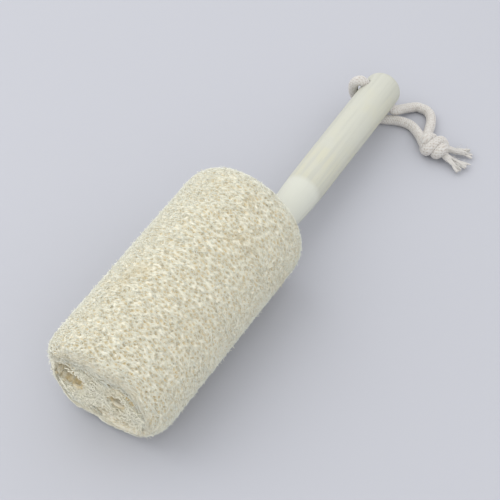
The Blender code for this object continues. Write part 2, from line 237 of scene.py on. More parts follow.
def sweep(name, rows, sides):
    """Draw a body out along X ring by ring. A row is x, y, z, half width and half height."""
    pick_none()
    bpy.ops.mesh.primitive_circle_add(vertices=sides, radius=1, rotation=(0, math.pi / 2, 0))
    piece = bpy.context.object
    piece.name = piece.data.name = name
    settle(piece)
    bpy.ops.object.mode_set(mode="EDIT")
    bpy.ops.mesh.select_all(action="SELECT")
    bpy.ops.transform.resize(value=(1, rows[0][3], rows[0][4]), center_override=(0, 0, 0))
    bpy.ops.transform.translate(value=rows[0][:3])
    for one, two in zip(rows, rows[1:]):
        step = [float(b - a) for a, b in zip(one[:3], two[:3])]
        bpy.ops.mesh.extrude_region_move(TRANSFORM_OT_translate={"value": step})
        grow = (1, float(two[3] / one[3]), float(two[4] / one[4]))
        bpy.ops.transform.resize(value=grow, center_override=[float(c) for c in two[:3]])
    bpy.ops.mesh.select_all(action="DESELECT")
    bpy.ops.mesh.select_non_manifold()
    bpy.ops.mesh.fill_holes(sides=0)
    bpy.ops.mesh.select_all(action="SELECT")
    bpy.ops.mesh.normals_make_consistent(inside=False)
    bpy.ops.object.mode_set(mode="OBJECT")
    return piece


def points_of(piece, what="co"):
    """The places of a piece's vertices, or their normals."""
    found = np.empty(len(piece.data.vertices) * 3, np.float32)
    piece.data.vertices.foreach_get(what, found)
    return found.reshape(-1, 3).astype(float)


def move_points(piece, points):
    piece.data.vertices.foreach_set("co", points.astype(np.float32).ravel())
    piece.data.update()


def paint(piece, name, values):
    """Store one number for each vertex, for the piece's material to read."""
    layer = piece.data.attributes.new(name, "FLOAT", "POINT")
    layer.data.foreach_set("value", np.asarray(values, np.float32))


def finish_piece(piece, look, body=None):
    """Give a piece its material in its slot and, when a body is named, attach it to that body."""
    piece.data.materials.clear()
    piece.data.materials.append(look)
    if body:
        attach(piece, body)


def mesh_piece(name, points, faces):
    """A smooth body. faces is an array with a row for each face, or a list when they differ."""
    mesh = bpy.data.meshes.new(name)
    mesh.vertices.add(len(points))
    mesh.vertices.foreach_set("co", np.asarray(points, np.float32).ravel())
    sizes = np.array([len(face) for face in faces], np.int32)
    flat = np.concatenate(faces) if isinstance(faces, list) else faces.ravel()
    flat = flat.astype(np.int32)
    mesh.loops.add(len(flat))
    mesh.loops.foreach_set("vertex_index", flat)
    mesh.polygons.add(len(sizes))
    mesh.polygons.foreach_set("loop_start", np.concatenate([[0], np.cumsum(sizes)[:-1]]))
    mesh.polygons.foreach_set("loop_total", sizes)
    mesh.update(calc_edges=True)
    mesh.validate()
    mesh.shade_smooth()
    piece = bpy.data.objects.new(name, mesh)
    bpy.context.scene.collection.objects.link(piece)
    return piece


def ripple(points, scale, seed=0.0):
    """Smooth noise at each point, about -1 to 1. scale stretches it along each axis."""
    sized = points * np.asarray(scale, float) + seed
    return np.array([noise.noise(Vector(p)) for p in sized]) * 1.6


# ---- fibres ----------------------------------------------------------------------------------
def fibre_mesh(name, lines, ups, radii, tones):
    """Many fine closed tubes in one mesh. lines and ups are (count, points, 3)."""
    count, length, _ = lines.shape
    along = np.gradient(lines, axis=1)
    along /= np.maximum(np.linalg.norm(along, axis=2, keepdims=True), 1e-12)
    side = np.cross(along, ups)
    side /= np.maximum(np.linalg.norm(side, axis=2, keepdims=True), 1e-12)
    up = np.cross(side, along)
    taper = np.ones(length)
    taper[[0, -1]] = 0.45
    size = (radii[:, None] * taper)[..., None]
    rings = []
    for i in range(FIBRE_SIDES):
        turn = math.tau * i / FIBRE_SIDES
        rings.append(lines + size * (math.cos(turn) * up + math.sin(turn) * side))
    points = np.stack(rings, axis=2).reshape(-1, 3)
    points[:, 2] = np.maximum(points[:, 2], FIBRE_FLOOR)
    start = np.arange(count)[:, None, None] * length * FIBRE_SIDES
    ring = np.arange(length - 1)[None, :, None] * FIBRE_SIDES
    a = start + ring + np.arange(FIBRE_SIDES)[None, None, :]
    b = start + ring + (np.arange(FIBRE_SIDES) + 1)[None, None, :] % FIBRE_SIDES
    walls = np.stack([a, b, b + FIBRE_SIDES, a + FIBRE_SIDES], axis=3).reshape(-1, 4)
    first = np.arange(count) * length * FIBRE_SIDES
    last = first + (length - 1) * FIBRE_SIDES
    caps = [np.stack([first + 2, first + 1, first], axis=1),
            np.stack([last, last + 1, last + 2], axis=1)]
    thirds = np.concatenate([walls[:, [0, 1, 2]], walls[:, [0, 2, 3]], *caps])
    piece = mesh_piece(name, points, thirds)
    paint(piece, "tone", np.repeat(tones, length * FIBRE_SIDES))
    return piece


class Surface:
    """A skin through oval rings: `t` runs from ring to ring and `turn` goes round them. A row
    is a ring's x, y, z, half width, half height, and slant, which leans the ring along X."""

    def __init__(self, rows):
        self.rows = np.array(rows, float)
        steps = np.hypot(np.diff(self.rows[:, 0]), np.diff(self.rows[:, 2] + self.rows[:, 4]))
        self.t = np.concatenate([[0], np.cumsum(steps)])
        self.start, self.end = 0.0, self.t[-1]

    def at(self, t, turn, out=0.0):
        """Points on the skin, and its outward direction there. Arrays of one shape."""
        near = self.place(t, turn)
        ahead = self.place(t + 0.0004, turn) - self.place(t - 0.0004, turn)
        round_ = self.place(t, turn + 0.01) - self.place(t, turn - 0.01)
        normal = np.cross(round_, ahead)
        normal /= np.maximum(np.linalg.norm(normal, axis=-1, keepdims=True), 1e-12)
        return near + normal * np.asarray(out)[..., None], normal

    def place(self, t, turn):
        x, y, z, wide, high, slant = [np.interp(t, self.t, self.rows[:, k]) for k in range(6)]
        worn = np.clip(1 - (x - FRONT_X) / WORN_REACH, 0, 1) * (
            np.sin(3 * turn + 1.0) + 0.7 * np.sin(5 * turn + 2.2) + 0.5 * np.sin(9 * turn + 0.7))
        spot = np.stack([x + slant * np.cos(turn) + WORN_ALONG * worn,
                         y + (wide - WORN_AROUND * worn) * np.cos(turn),
                         z + (high - WORN_AROUND * worn) * np.sin(turn)], axis=-1)
        above = spot[..., 2] - FLAT_UNDER
        spot[..., 2] = np.where(above < 0, FLAT_UNDER + above * 0.35, spot[..., 2])
        return spot


class Skin(Surface):
    """The loofah's whole skin: `t` runs from deep in the front of the bore, over the front rim,
    along the outside and over the rear rim."""

    def __init__(self):
        straight = LOOFAH_LENGTH - FRONT_ROUND - REAR_ROUND
        outside = [self.outer(FRONT_ROUND * (1 - math.cos(a)), FRONT_INSET * (1 - math.sin(a)))
                   for a in np.linspace(0, math.pi / 2, 7)]
        outside += [self.outer(FRONT_ROUND + straight * i / 14, 0) for i in range(1, 14)]
        outside += [self.outer(LOOFAH_LENGTH - REAR_ROUND * (1 - math.cos(a)),
                               REAR_INSET * (1 - math.sin(a)))
                    for a in np.linspace(math.pi / 2, 0, 7)]
        rows = [self.bore(FRONT_X + 0.035), self.bore(FRONT_X + 0.018)]
        mouth = self.bore(FRONT_X + FRONT_RIM_DEPTH, MOUTH_FLARE)
        rows += self.roll(mouth, outside[0], -FRONT_RIM_DEPTH / 3)
        first = len(rows)
        rows += outside
        rows += self.roll(self.bore(REAR_X - RIM_DEPTH), outside[-1], RIM_DEPTH / 3)[::-1]
        rows += [self.bore(REAR_X - 0.018), self.bore(REAR_X - 0.030)]
        super().__init__(rows)
        self.start, self.end = self.t[first], self.t[first + len(outside) - 1]

    @staticmethod
    def outer(back, inset):
        """A ring of the outside, `back` from the front end and `inset` by the rounded end."""
        share = back / LOOFAH_LENGTH
        width = FRONT_WIDTH + (REAR_WIDTH - FRONT_WIDTH) * share
        height = FRONT_HEIGHT + (REAR_HEIGHT - FRONT_HEIGHT) * share
        return (FRONT_X + back, 0, (height - BELLY_PRESS) / 2, width / 2 - inset,
                (height + BELLY_PRESS) / 2 - inset, REAR_SLANT / 2 * share ** 2)

    @staticmethod
    def bore(x, flare=0.0):
        """A ring of the bore at x, wider by `flare` at its worn edge."""
        return (x, BORE_Y + flare * 0.5, BORE_Z, BORE_HALF_WIDTH + flare,
                BORE_HALF_HEIGHT + flare * 0.6, 0)

    @staticmethod
    def roll(inside, outside, bulge):
        """Rows from the bore out to the rim's edge, bowed along X; the outside row is left out."""
        rows = []
        for i in range(8):
            share = i / 8
            row = [a + (b - a) * share for a, b in zip(inside, outside)]
            row[0] += bulge * math.sin(math.pi * share)
            rows.append(tuple(row))
        return rows


def web_face(skin):
    """The surface of the web at the open front end, from its middle out onto the rim."""
    rows = [(FRONT_X + back, BORE_Y, BORE_Z, BORE_HALF_WIDTH * far, BORE_HALF_HEIGHT * far, 0)
            for far, back in ((0.06, 0.0028), (0.4, 0.0019), (0.75, 0.0009), (0.98, 0.0004))]
    return Surface(rows + [tuple(skin.rows[6]), tuple(skin.rows[7])])


LAYERS = (                    # name, depth from and to, slope, share of length, tone
    ("low_a", (0.0005, 0.0009), 0.60, 1.0, 0.42),
    ("low_b", (0.0004, 0.0008), 0.50, 1.0, 0.34),
    ("top_a", (0.0001, 0.0006), 0.38, 1.0, 0.16),
    ("top_b", (0.0000, 0.0005), 0.34, 1.0, 0.12),
    ("top_c", (0.0000, 0.0004), 0.42, 0.8, 0.12),
    ("cross", (0.0001, 0.0007), 1.3, 0.55, 0.16),
)
PIT_LONG, PITS_ROUND = 0.0018, 86          # between pits along the skin, and how many round it
PIT_REACH = 0.46                           # a pit's half size, as a share of that spacing
PIT_JITTER = np.random.default_rng(3).uniform(-0.40, 0.40, (256, PITS_ROUND, 3))


def pits(t, turn):
    """How near a pit's middle each place on the skin is (0 away, 1 there), and on which side."""
    along, round_ = t / PIT_LONG, turn / math.tau * PITS_ROUND
    best, side = np.full(np.shape(t), 9.0), np.zeros(np.shape(t))
    for i in (-1, 0, 1):
        for j in (-1, 0, 1):
            row, place = np.floor(along).astype(int) + i, np.floor(round_).astype(int) + j
            shift = PIT_JITTER[row % 256, place % PITS_ROUND]
            off = along - row - 0.5 - shift[..., 0]
            gap = np.hypot(off, round_ - place - 0.5 - shift[..., 1] - 0.5 * (row % 2))
            gap = gap / (0.92 + shift[..., 2])
            side = np.where(gap < best, off, side)
            best = np.minimum(gap, best)
    return np.clip(1 - best / PIT_REACH, 0, 1), side


def skin_fibres(name, skin, random, count, depth, slope, settings, share, tone):
    """Short wiry fibres that run mostly round the loofah and part round its pits."""
    length = 8
    low, high = max(0.0, skin.start - 0.010), min(skin.end + 0.011, skin.t[-1])
    steps = np.arange(count)[:, None] * EVEN_STEPS + random.uniform(0, 1, 2)
    t0, turn0 = low + (high - low) * (steps[:, 0] % 1), math.tau * steps[:, 1]
    long = random.uniform(0.0028, 0.0064, count) * share
    lean = random.normal(0, slope, count)
    walk = np.linspace(-0.5, 0.5, length)[None, :] * long[:, None]
    across = random.normal(0, 22, (count, 1)) * walk ** 2
    cos, sin = np.cos(lean)[:, None], np.sin(lean)[:, None]
    wide = np.interp(t0, skin.t, skin.rows[:, 3:5].mean(axis=1))[:, None]
    turn = turn0[:, None] + (walk * cos - across * sin) / wide
    t = t0[:, None] + walk * sin + across * cos
    near, side = pits(t, turn)
    t += 0.0010 * near * np.sign(side)
    out = -random.uniform(depth[0], depth[1], (count, 1)) - 0.0003 * near
    out -= 0.0005 * (2 * walk / long[:, None]) ** 4
    lines, ups = skin.at(t, turn, out)
    clear = channel_depth(lines[..., 1], lines[..., 2]).max(axis=1) < 0.05
    clear |= lines[..., 0].max(axis=1) > FRONT_X + 0.006
    on_rim = np.clip((skin.start + 0.003 - t0) / 0.005, 0, 1)
    crowd = wide[:, 0] / skin.rows[:, 3:5].mean(axis=1).max() * (1 - 0.5 * on_rim)
    clear &= random.uniform(0, 1, count) < crowd
    radii = settings.fibre_radius * random.uniform(0.7, 1.1, count)
    # painted shade: fibres on the front rim get a tanner, darker tone because the rim faces away
    # from the light
    tones = np.clip(random.normal(tone, 0.10, count) + 0.32 * on_rim, 0, 1)
    return fibre_mesh(name, lines[clear], ups[clear], radii[clear], tones[clear])


def rim_fibres(name, skin, random, count, span, settings, tone):
    """Fibres that run across the skin's rim, from outside over it and into the bore."""
    length = 11
    t0 = random.uniform(*span, count)
    turn0 = random.uniform(0, math.tau, count)
    long = random.uniform(0.005, 0.013, count)
    walk = np.linspace(-0.5, 0.5, length)[None, :] * long[:, None]
    lean = random.normal(0, 0.45, count)[:, None]
    t = t0[:, None] + walk * np.cos(lean)
    wide, high = [np.interp(t, skin.t, skin.rows[:, k]) for k in (3, 4)]
    turn = turn0[:, None] + walk * np.sin(lean) / ((wide + high) / 2)
    wave = random.uniform(0.003, 0.007, (count, 1))
    start = random.uniform(0, math.tau, (count, 1))
    turn += 0.0005 / wide * np.sin(math.tau * walk / wave + start)
    out = -random.uniform(0.0, 0.0016, (count, 1)) + 0.0003 * np.sin(math.tau * walk / wave - start)
    lines, ups = skin.at(t, turn, out)
    radii = settings.fibre_radius * random.uniform(0.5, 1.1, count)
    tones = np.clip(random.normal(tone, 0.14, count), 0, 1)
    return fibre_mesh(name, lines, ups, radii, tones)


def channel_depth(y, z):
    """How far inside the nearest seed channel a point is: above 0 in a channel, below 0 in web."""
    best = np.full(np.shape(y), -9.0)
    for cy, cz, wide, high in CHANNELS:
        best = np.maximum(best, 1 - np.hypot((y - cy) / wide, (z - cz) / high))
    return best


def web_fibres(name, random, count, x_span, settings):
    """Curly fibres of the inner web, tangled between the channels and left out of them."""
    tries = count * 5
    turn = random.uniform(0, math.tau, tries)
    far = np.sqrt(random.uniform(0, 1.08, tries))
    centre = np.stack([random.uniform(*x_span, tries),
                       BORE_Y + BORE_HALF_WIDTH * far * np.cos(turn),
                       BORE_Z + BORE_HALF_HEIGHT * far * np.sin(turn)], axis=1)
    length = 10
    walk = np.linspace(-0.5, 0.5, length)[None, :] * random.uniform(0.35, 1.0, (tries, 1))
    walk = walk * WEB_FIBRE_LONG
    aim = random.normal(0, 1, (tries, 3)) * (0.45, 1, 1)
    aim /= np.linalg.norm(aim, axis=1, keepdims=True)
    side = np.cross(aim, random.normal(0, 1, (tries, 3)))
    side /= np.linalg.norm(side, axis=1, keepdims=True)
    bow = random.uniform(-1, 1, (tries, 1)) * 110
    wave = random.uniform(0.003, 0.006, (tries, 1))
    bend = bow * walk ** 2 + 0.0005 * np.sin(math.tau * walk / wave)
    lines = centre[:, None] + walk[..., None] * aim[:, None] + bend[..., None] * side[:, None]
    lines[..., 0] = np.maximum(lines[..., 0], FRONT_X - 0.0004)
    beyond = np.hypot((lines[..., 1] - BORE_Y) / BORE_HALF_WIDTH,
                      (lines[..., 2] - BORE_Z) / BORE_HALF_HEIGHT).max(axis=1)
    deepest = channel_depth(lines[..., 1], lines[..., 2]).max(axis=1)
    kept = np.flatnonzero((deepest < 0.06) & (beyond < 1.20))[:count]
    ups = np.repeat(side[kept, None], length, axis=1)
    radii = settings.fibre_radius * random.uniform(0.6, 1.8, len(kept))
    tones = np.clip(random.normal(0.02, 0.06, len(kept)), 0, 1)
    return fibre_mesh(name, lines[kept], ups, radii, tones)


def stray_hairs(name, skin, random, count, settings):
    """Cut ends that stand off the skin."""
    length = 6
    t0 = random.uniform(skin.start - 0.003, skin.end + 0.003, count)
    turn0 = random.uniform(-0.9, math.pi + 0.9, count)
    walk = np.linspace(0, 1, length)[None, :] * random.uniform(0.0008, 0.0022, (count, 1))
    lean = random.uniform(0, math.tau, (count, 1))
    t = t0[:, None] + walk * np.sin(lean) * 0.8
    turn = turn0[:, None] + walk * np.cos(lean) * 0.8 / 0.035
    rise = random.uniform(0.30, 0.95, (count, 1))
    out = -0.0006 + walk * rise + 40 * walk ** 2 * random.uniform(-0.6, 0.8, (count, 1))
    lines, ups = skin.at(t, turn, out)
    radii = settings.fibre_radius * random.uniform(0.8, 1.2, count)
    tones = np.clip(random.normal(0.12, 0.08, count), 0, 1)
    return fibre_mesh(name, lines, ups, radii, tones)


# ---- materials -------------------------------------------------------------------------------
def node_group(name, inputs, outputs):
    group = bpy.data.node_groups.new(name, "ShaderNodeTree")
    for label, kind, value in inputs:
        socket = group.interface.new_socket(name=label, in_out="INPUT", socket_type=kind)
        if value is not None:
            socket.default_value = value
    for label, kind in outputs:
        group.interface.new_socket(name=label, in_out="OUTPUT", socket_type=kind)
    start = group.nodes.new("NodeGroupInput")
    end = group.nodes.new("NodeGroupOutput")
    return group, start, end


def add(tree, kind, links=(), **values):
    """A new node. links maps an input's name or place to the socket that feeds it."""
    node = tree.nodes.new(kind)
    for key, value in values.items():
        if key.startswith("in_"):
            spot = key[3:]
            spot = int(spot) if spot.isdigit() else spot.replace("_", " ").title()
            node.inputs[spot].default_value = value
        else:
            setattr(node, key, value)
    for spot, source in dict(links).items():
        tree.links.new(source, node.inputs[spot])
    return node


def mottle_group():
    """Soft blotches of one size: a mask from 0 to 1."""
    group, start, end = node_group(
        "soft_mottle",
        [("Vector", "NodeSocketVector", None), ("Scale", "NodeSocketFloat", 50.0),
         ("Low", "NodeSocketFloat", 0.35), ("High", "NodeSocketFloat", 0.65)],
        [("Mask", "NodeSocketFloat")])
    blot = add(group, "ShaderNodeTexNoise", {"Vector": start.outputs["Vector"],
                                             "Scale": start.outputs["Scale"]}, in_detail=4.0)
    mask = add(group, "ShaderNodeMapRange", {"Value": blot.outputs["Fac"],
                                             "From Min": start.outputs["Low"],
                                             "From Max": start.outputs["High"]},
               interpolation_type="SMOOTHSTEP")
    group.links.new(mask.outputs["Result"], end.inputs["Mask"])
    return group


def fluff_group():
    """The fine fuzz of a plant or cotton fibre as a bump."""
    group, start, end = node_group(
        "fibre_fluff",
        [("Vector", "NodeSocketVector", None), ("Scale", "NodeSocketFloat", 2500.0),
         ("Strength", "NodeSocketFloat", 0.3), ("Height", "NodeSocketFloat", 0.0002)],
        [("Normal", "NodeSocketVector")])
    fuzz = add(group, "ShaderNodeTexNoise", {"Vector": start.outputs["Vector"],
                                             "Scale": start.outputs["Scale"]}, in_detail=3.0)
    bump = add(group, "ShaderNodeBump", {"Height": fuzz.outputs["Fac"],
                                         "Strength": start.outputs["Strength"],
                                         "Distance": start.outputs["Height"]})
    group.links.new(bump.outputs["Normal"], end.inputs["Normal"])
    return group


def shared_group(name):
    makers = {"soft_mottle": mottle_group, "fibre_fluff": fluff_group}
    return bpy.data.node_groups.get(name) or makers[name]()


def start_material(name, roughness, specular=0.3):
    look = bpy.data.materials.new(name)
    look.use_nodes = True
    tree = look.node_tree
    shader = tree.nodes["Principled BSDF"]
    shader.inputs["Roughness"].default_value = roughness
    shader.inputs["Specular IOR Level"].default_value = specular
    place = add(tree, "ShaderNodeTexCoord").outputs["Object"]
    return look, tree, shader, place


def blend_colours(tree, mask, one, two):
    """Mix two colours, each a socket or plain values, by a mask socket."""
    mix = add(tree, "ShaderNodeMix", data_type="RGBA")
    tree.links.new(mask, mix.inputs["Factor"])
    for socket, colour in ((mix.inputs[6], one), (mix.inputs[7], two)):
        if isinstance(colour, bpy.types.NodeSocket):
            tree.links.new(colour, socket)
        else:
            socket.default_value = (*colour, 1)
    return mix.outputs[2]


def mottle(tree, place, scale, low, high):
    return add(tree, "ShaderNodeGroup", {"Vector": place}, node_tree=shared_group("soft_mottle"),
               in_scale=scale, in_low=low, in_high=high).outputs["Mask"]


def fluff(tree, place, scale, strength, height):
    return add(tree, "ShaderNodeGroup", {"Vector": place}, node_tree=shared_group("fibre_fluff"),
               in_scale=scale, in_strength=strength, in_height=height).outputs["Normal"]


def attribute(tree, name):
    return add(tree, "ShaderNodeAttribute", attribute_name=name).outputs["Fac"]


def darker(colour, share):
    return tuple(c * share for c in colour)


def fibre_look(settings, name, tint=(1, 1, 1)):
    """Bleached loofah fibre: each fibre has its own tone, with straw and faint brown patches."""
    look, tree, shader, place = start_material(name, 0.8, 0.15)
    # tint scales the pale colour; the web's copy is brighter and warmer, as painted light
    pale = [min(1.0, a * b) for a, b in zip(settings.pale, tint)]
    colour = blend_colours(tree, attribute(tree, "tone"), pale,
                           [(a * 0.42 + b * 0.58) for a, b in zip(settings.pale, settings.tan)])
    straw = mottle(tree, place, 42.0, 0.58, 0.80)
    colour = blend_colours(tree, straw, colour, (0.80, 0.74, 0.56))
    stain = mottle(tree, place, 22.0, 0.70, 0.84)
    colour = blend_colours(tree, stain, colour, (0.82, 0.66, 0.40))
    tree.links.new(colour, shader.inputs["Base Color"])
    tree.links.new(fluff(tree, place, 2600.0, 0.25, 0.0001), shader.inputs["Normal"])
    return look


def flesh_look(settings, name, colour_share):
    """The tan flesh under the fibres: darker in its pits, with fine cross fibres in relief."""
    look, tree, shader, place = start_material(name, 0.9, 0.15)
    high = [a * 0.75 + b * 0.25 for a, b in zip(settings.pale, settings.tan)]
    colour = blend_colours(tree, attribute(tree, "ridge"), darker(settings.tan, colour_share),
                           darker(high, colour_share))
    colour = blend_colours(tree, mottle(tree, place, 650.0, 0.55, 0.8), colour,
                           darker(settings.pale, 0.9 * colour_share))
    tree.links.new(colour, shader.inputs["Base Color"])
    tree.links.new(fluff(tree, place, 1400.0, 0.7, 0.0006), shader.inputs["Normal"])
    return look


# ---- loofah ----------------------------------------------------------------------------------
def build_wall_body(skin, settings):
    """The tan flesh of the wall: a grid rolled round into one closed body with a pitted skin."""
    pick_none()
    bpy.ops.mesh.primitive_grid_add(x_subdivisions=384, y_subdivisions=250, size=1)
    body = bpy.context.object
    body.name = body.data.name = "loofah_wall_flesh"
    flat = points_of(body)
    bore_front, bore_rear = skin.start - 0.016, skin.end + 0.016
    t = np.interp(flat[:, 0] + 0.5, (0, 0.03, 0.97, 1), (0, bore_front, bore_rear, skin.t[-1]))
    turn = (flat[:, 1] + 0.5) * math.tau
    near, _ = pits(t, turn)
    outside = np.interp(t, (bore_front, bore_front + 0.004, bore_rear - 0.004, bore_rear),
                        (0, 1, 1, 0))
    points, _ = skin.at(t, turn)
    depth = outside * (0.0007 + 0.0014 * near + 0.0002 * ripple(points, (900, 700, 700), 1.7))
    points, _ = skin.at(t, turn, -depth)
    points[:, 2] = np.maximum(points[:, 2], FLAT_UNDER)
    move_points(body, points)
    paint(body, "ridge", 1 - near)
    bpy.ops.object.mode_set(mode="EDIT")
    bpy.ops.mesh.select_all(action="SELECT")
    bpy.ops.mesh.remove_doubles(threshold=0.000002)
    bpy.ops.mesh.select_all(action="DESELECT")
    bpy.ops.mesh.select_non_manifold()
    bpy.ops.mesh.bridge_edge_loops()
    bpy.ops.mesh.select_all(action="SELECT")
    bpy.ops.mesh.normals_make_consistent(inside=False)
    bpy.ops.object.mode_set(mode="OBJECT")
    body.data.shade_smooth()
    finish_piece(body, flesh_look(settings, "loofah_flesh", 1.0), "brush")
    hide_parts("loofah_wall")
    return body


def build_core_body(settings):
    """The web between the three seed channels: a lumpy closed body."""
    long = LOOFAH_LENGTH - 2 * CORE_RECESS + 0.0064
    centre = (FRONT_X + REAR_X) / 2 - 0.0017
    body = sweep("loofah_web_core", [
        (centre - long / 2, BORE_Y, BORE_Z, BORE_HALF_WIDTH * 1.04, BORE_HALF_HEIGHT * 1.05),
        (centre + long / 2, BORE_Y, BORE_Z, BORE_HALF_WIDTH * 1.04, BORE_HALF_HEIGHT * 1.05)], 64)
    for y, z, wide, high in CHANNELS:
        cutter = sweep("channel", [(centre - long, y, z, wide, high),
                                   (centre + long, y, z, wide, high)], 32)
        apply_modifier(body, "BOOLEAN", operation="DIFFERENCE", object=cutter)
        bpy.data.objects.remove(cutter)
    apply_modifier(body, "REMESH", mode="VOXEL", voxel_size=0.0011)
    points, normals = points_of(body), points_of(body, "normal")
    lumps = ripple(points, (190, 330, 330), 2.2)
    points += normals * (0.0006 * lumps + 0.0006 * ripple(points, (900, 1100, 1100), 6.1))[:, None]
    flare = 0.03 * np.clip((FRONT_X + 0.014 - points[:, 0]) / 0.010, 0, 1)[:, None]
    points[:, 1:] += (points[:, 1:] - (BORE_Y, BORE_Z)) * flare
    move_points(body, points)
    paint(body, "ridge", np.clip(lumps * 0.6 + 0.5, 0, 1))
    body.data.shade_smooth()
    finish_piece(body, flesh_look(settings, "loofah_web_flesh", 0.95), "brush")
    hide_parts("loofah_core")
    return body


class BuildLoofah(bpy.types.Operator):
    """Build the loofah's flesh, its inner web and its layers of fibres"""

    bl_idname = "scrubber.loofah"
    bl_label = "Loofah"

    def execute(self, context):
        settings = context.scene.scrubber_loofah
        skin = Skin()
        build_wall_body(skin, settings)
        build_core_body(settings)
        random = np.random.default_rng(settings.seed)
        look = fibre_look(settings, "loofah_fibre_pale")
        # painted light: a brighter, warmer copy of the fibre colour for the web, which sits in
        # shade behind the rims
        web_lit_look = fibre_look(settings, "loofah_web_painted_light", (1.08, 1.04, 0.98))
        pieces = [
            *[skin_fibres("skin_fibres_" + layer, skin, random, settings.layer_count, depth, slope,
                          settings, share, tone)
              for layer, depth, slope, share, tone in LAYERS],
            skin_fibres("front_face_fibres", web_face(skin), random, settings.layer_count,
                        (0.0002, 0.0013), 1.2, settings, 0.8, 0.20),
            rim_fibres("rear_rim_fibres", skin, random, 500,
                       (skin.end - 0.007, skin.end + 0.016), settings, 0.22),
            rim_fibres("bore_fibres", skin, random, 2000, (0.002, skin.start - 0.013),
                       settings, 0.55),
            stray_hairs("stray_hairs", skin, random, 2600, settings),
        ]
        for piece in pieces:
            finish_piece(piece, look, "brush")
        webs = [
            web_fibres("web_fibres_front", random, 2600,
                       (FRONT_X - 0.0002, FRONT_X + 0.0032), settings),
            web_fibres("web_fibres_rear", random, 2600,
                       (REAR_X - 0.0048, REAR_X - 0.0022), settings),
        ]
        for piece in webs:
            finish_piece(piece, web_lit_look, "brush")
        return {"FINISHED"}


# ---- handle ----------------------------------------------------------------------------------
def wood_look(settings):
    """Pale sanded wood: lengthwise grain and pores, a fresher cone and end grain on the dome."""
    look, tree, shader, place = start_material("pale_turned_wood", 0.55, 0.35)
    own = add(tree, "ShaderNodeMapping", {"Vector": place}, vector_type="TEXTURE",
              in_location=HANDLE_ENTRY, in_rotation=HANDLE_TURN)
    along = add(tree, "ShaderNodeMapping", {"Vector": own.outputs[0]}, in_scale=(14, 330, 330))
    dash = add(tree, "ShaderNodeMapping", {"Vector": own.outputs[0]}, in_scale=(160, 1500, 1500))
    colour = blend_colours(tree, mottle(tree, own.outputs[0], 55.0, 0.35, 0.7), settings.wood,
                           [a * b for a, b in zip(settings.wood, (1.03, 1.01, 0.93))])
    grain = mottle(tree, along.outputs[0], 1.0, 0.42, 0.68)
    colour = blend_colours(tree, grain, colour, darker(settings.wood, 0.93))
    pores = mottle(tree, dash.outputs[0], 1.0, 0.66, 0.80)
    colour = blend_colours(tree, pores, colour, darker(settings.wood, 0.80))
    reach = add(tree, "ShaderNodeSeparateXYZ", {"Vector": own.outputs[0]})
    neck = add(tree, "ShaderNodeMapRange", {"Value": reach.outputs["X"]}, in_1=SHOULDER_AT + 0.0015,
               in_2=SHOULDER_AT - 0.0015)
    colour = blend_colours(tree, neck.outputs[0], colour, settings.neck)
    tree.links.new(colour, shader.inputs["Base Color"])
    bump = add(tree, "ShaderNodeBump", {"Height": grain}, in_strength=0.25, in_distance=0.0002)
    tree.links.new(bump.outputs[0], shader.inputs["Normal"])
    return look


def build_handle(settings):
    """Spigot, cone, shoulder, long grip and domed butt, with the slanting cord hole."""
    rows = [(-SPIGOT_LENGTH, SPIGOT_RADIUS - 0.0008), (-SPIGOT_LENGTH + 0.0008, SPIGOT_RADIUS),
            (-0.002, SPIGOT_RADIUS), (-0.0005, NECK_RADIUS - 0.0002)]
    for i in range(1, 10):
        share = i / 10
        bow = 0.0005 * math.sin(math.pi * share)
        radius = NECK_RADIUS + (SHOULDER_RADIUS - NECK_RADIUS) * share + bow
        rows.append((SHOULDER_AT * share, radius))
    rows += [(SHOULDER_AT - 0.0010, SHOULDER_RADIUS - 0.00028), (SHOULDER_AT, SHOULDER_RADIUS)]
    dome_at = HANDLE_REACH - DOME_LENGTH
    for i in range(1, 13):
        share = i / 12
        swell = SHOULDER_RADIUS + (BUTT_RADIUS - SHOULDER_RADIUS) * math.sin(math.pi / 2 * share)
        rows.append((SHOULDER_AT + (dome_at - SHOULDER_AT) * share, swell))
    for i in range(1, 13):
        turn = math.pi / 2 * i / 12.25
        rows.append((dome_at + DOME_LENGTH * math.sin(turn), BUTT_RADIUS * math.cos(turn) ** 0.72))
    rows = [(x, 0, 0, r, r) for x, r in rows]
    handle = sweep("turned_handle", rows, settings.sides)
    cutter = sweep("cord_hole", [(-0.03, 0, 0, CORD_HOLE_RADIUS, CORD_HOLE_RADIUS),
                                 (0.03, 0, 0, CORD_HOLE_RADIUS, CORD_HOLE_RADIUS)], 48)
    to_hole = Matrix.Translation((CORD_HOLE_AT, 0, 0)) @ (
        HOLE_TURN @ Matrix.Rotation(math.radians(-90), 3, "Y")).to_4x4()
    cutter.data.transform(to_hole)
    apply_modifier(handle, "BOOLEAN", operation="DIFFERENCE", object=cutter)
    bpy.data.objects.remove(cutter)
    apply_modifier(handle, "BEVEL", width=0.0004, segments=2, limit_method="ANGLE",
                   angle_limit=math.radians(50))
    handle.location = HANDLE_ENTRY
    handle.rotation_euler = HANDLE_TURN
    settle(handle)
    bpy.ops.object.shade_smooth_by_angle(angle=math.radians(32))
    finish_piece(handle, wood_look(settings), "brush")
    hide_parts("handle")
    return handle


def glue_look():
    """Amber glue that has soaked into the fibres."""
    look, tree, shader, place = start_material("clear_glue", 0.28, 0.5)
    colour = blend_colours(tree, mottle(tree, place, 240.0, 0.35, 0.7), (0.62, 0.52, 0.30),
                           (0.74, 0.66, 0.46))
    tree.links.new(colour, shader.inputs["Base Color"])
    tree.links.new(fluff(tree, place, 900.0, 0.4, 0.0004), shader.inputs["Normal"])
    return look


class BuildHandle(bpy.types.Operator):
    """Build the turned handle and give the glue in its socket a finish"""

    bl_idname = "scrubber.handle"
    bl_label = "Handle and glue"

    def execute(self, context):
        build_handle(context.scene.scrubber_handle)
        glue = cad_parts["glue_sleeve"]
        glue.data.materials.clear()
        glue.data.materials.append(glue_look())
        return {"FINISHED"}


